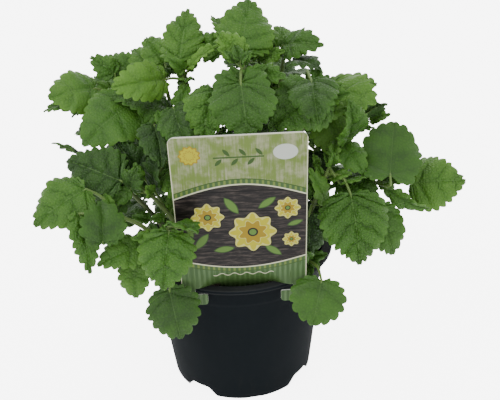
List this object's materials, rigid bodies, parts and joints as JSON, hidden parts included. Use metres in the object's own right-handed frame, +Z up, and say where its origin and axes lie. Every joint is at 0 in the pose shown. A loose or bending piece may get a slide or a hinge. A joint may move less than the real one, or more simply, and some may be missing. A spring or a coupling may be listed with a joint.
{
  "type": "lemon balm plant",
  "caption": "Bushy lemon balm grown in a round black nursery pot filled with soil, with a bent plastic plant label clipped over the lip.",
  "frame": {"origin": "centre of the pot's foot, on the ground the pot stands on", "axes": "+Z up, -Y towards the side that carries the label, +X to the right as seen from that side"},
  "size_m": [0.2507, 0.2003, 0.2373],
  "materials": {
    "pot_plastic": "satin",
    "label_plastic": "satin",
    "soil": "matte",
    "leaf": "satin"
  },
  "bodies": {
    "root": {"pot": "pot_plastic", "label": "label_plastic", "soil": "soil", "shoot_front_centre": "leaf", "shoot_top_centre": "leaf", "shoot_top_right": "leaf", "shoot_front_right": "leaf", "shoot_right": "leaf", "shoot_low_right": "leaf", "shoot_far_right": "leaf", "shoot_rim_right": "leaf", "shoot_upper_left": "leaf", "shoot_high_left": "leaf", "shoot_left_back": "leaf", "shoot_left": "leaf", "shoot_inner_left": "leaf", "shoot_mid_left": "leaf", "shoot_low_left": "leaf", "shoot_rim_left": "leaf", "shoot_middle": "leaf", "shoot_middle_right": "leaf", "shoot_back_left": "leaf", "shoot_back": "leaf", "shoot_back_right": "leaf", "shoot_side_right": "leaf", "shoot_side_left": "leaf", "shoot_low_back": "leaf"}
  },
  "joints": []
}
